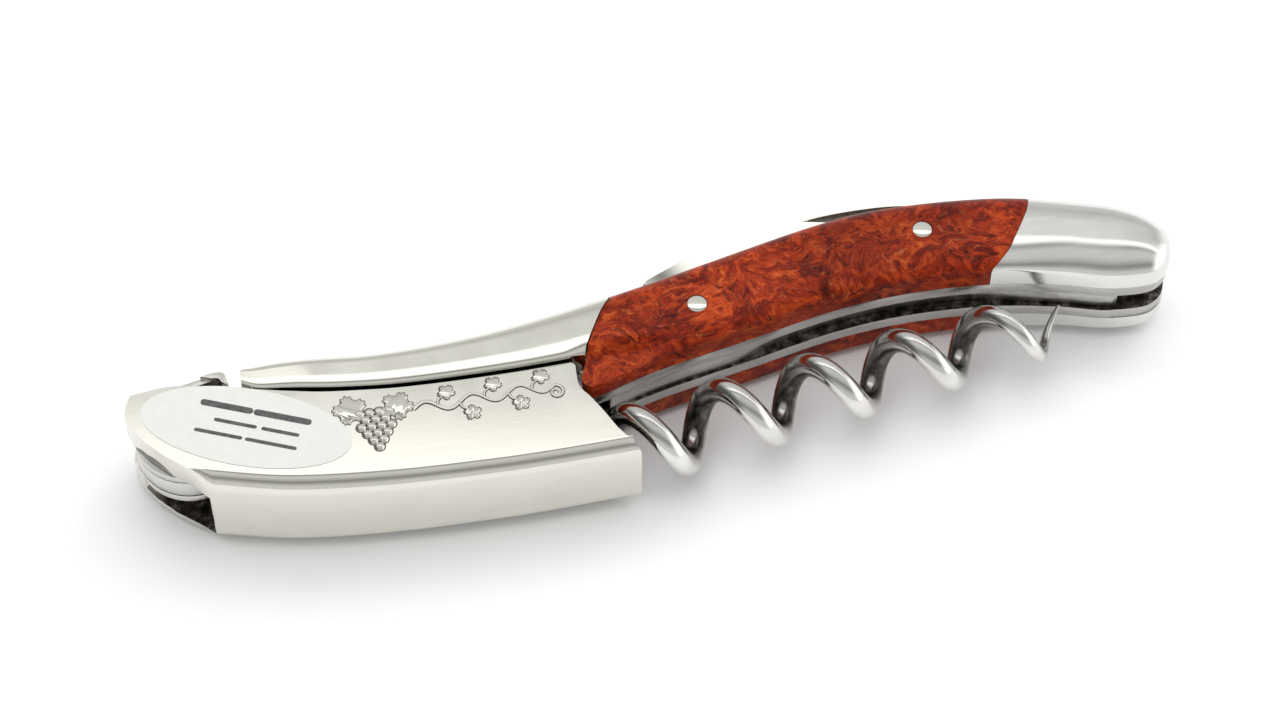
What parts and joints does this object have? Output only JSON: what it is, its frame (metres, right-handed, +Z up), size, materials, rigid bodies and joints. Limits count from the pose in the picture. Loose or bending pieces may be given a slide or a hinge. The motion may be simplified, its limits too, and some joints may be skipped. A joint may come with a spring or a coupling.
{
  "type": "waiters corkscrew",
  "caption": "Folding waiter's corkscrew with a channelled bottle lever, a helical worm, a foil knife and a pinned burl and steel handle.",
  "frame": {"origin": "centre of the bounding box's base, with the closed tool lying on its far side", "axes": "+X along the handle towards the butt, +Y from the worm and lever towards the back and the foil knife, +Z up through the thickness"},
  "size_m": [0.1246, 0.0328, 0.0142],
  "materials": {
    "polished_steel": "mirror-polished stainless steel",
    "satin_steel": "satin-ground stainless steel",
    "burl_wood": "red-brown burl, polished and sealed",
    "white_label": "plain white oval sticker"
  },
  "bodies": {
    "handle": {"liner_near": "satin_steel", "liner_far": "satin_steel", "front_spacer": "satin_steel", "blade_spring": "polished_steel", "front_bolster_near": "polished_steel", "front_bolster_far": "polished_steel", "scale_near": "burl_wood", "scale_far": "burl_wood", "butt_bolster_near": "polished_steel", "butt_bolster_far": "polished_steel", "scale_pin_front": "polished_steel", "scale_pin_rear": "polished_steel", "bolster_pin_1": "polished_steel", "bolster_pin_2": "polished_steel", "blade_pin": "polished_steel", "lever_pin": "polished_steel", "worm_pin": "polished_steel"},
    "lever": {"lever": "polished_steel", "label": "white_label"},
    "worm": {"worm": "polished_steel"},
    "blade": {"blade": "polished_steel"}
  },
  "joints": [
    {"name": "lever_swing", "type": "hinge", "parent": "handle", "child": "lever", "pos_m": [-0.05541, -0.00222, 0.0071], "axis": [0, 0, 1], "range_deg": [-165, 0]},
    {"name": "worm_swing", "type": "hinge", "parent": "handle", "child": "worm", "pos_m": [-0.01391, -0.00822, 0.0071], "axis": [0, 0, 1], "range_deg": [-100, 0]},
    {"name": "blade_swing", "type": "hinge", "parent": "handle", "child": "blade", "pos_m": [0.05409, 0.00428, 0.0071], "axis": [0, 0, 1], "range_deg": [-180, 0]}
  ],
  "couplings": [
    {"joint": "worm_swing", "follows": "lever_swing", "ratio": 0.6}
  ]
}
